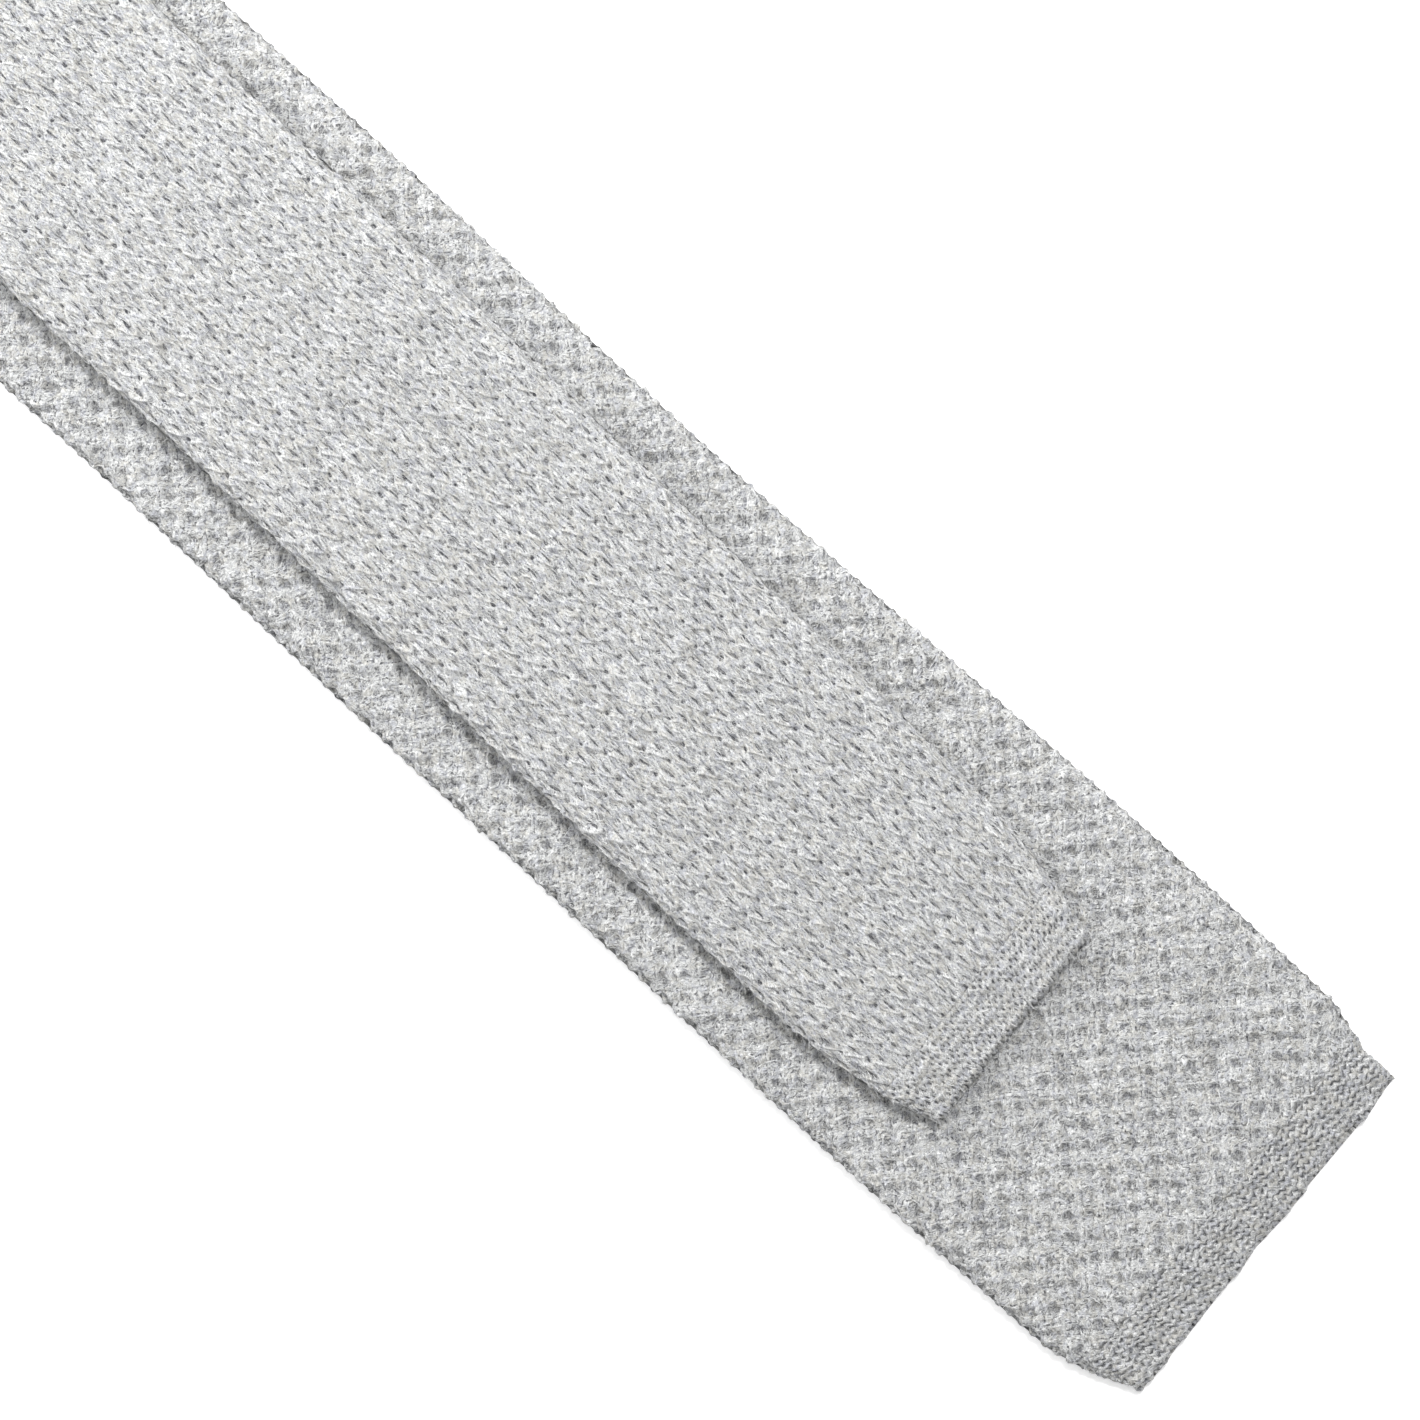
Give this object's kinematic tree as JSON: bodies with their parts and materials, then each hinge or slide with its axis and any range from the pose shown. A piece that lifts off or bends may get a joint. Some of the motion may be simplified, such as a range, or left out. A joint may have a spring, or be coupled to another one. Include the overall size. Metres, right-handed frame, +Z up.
{
  "type": "knit tie",
  "caption": "Square-ended knitted wool tie, a flat hollow tube folded in half at the neck with the narrow blade lying on the wide blade.",
  "frame": {"origin": "middle of the underside of the folded tie, on the surface that it lies on", "axes": "+Y runs from the wide end to the fold at the neck, +X across the blades, +Z up through the two blades"},
  "size_m": [0.0606, 0.7474, 0.013],
  "materials": {
    "honeycomb_knit": "fuzzy light grey wool, honeycomb tuck stitch",
    "plain_knit": "fuzzy light grey wool, staggered long plain stitches",
    "hem_knit": "light grey wool, close plain knit"
  },
  "bodies": {
    "root": {"front_wall": "honeycomb_knit", "back_wall": "plain_knit", "wide_end_hem": "hem_knit", "narrow_end_hem": "hem_knit"}
  },
  "joints": []
}
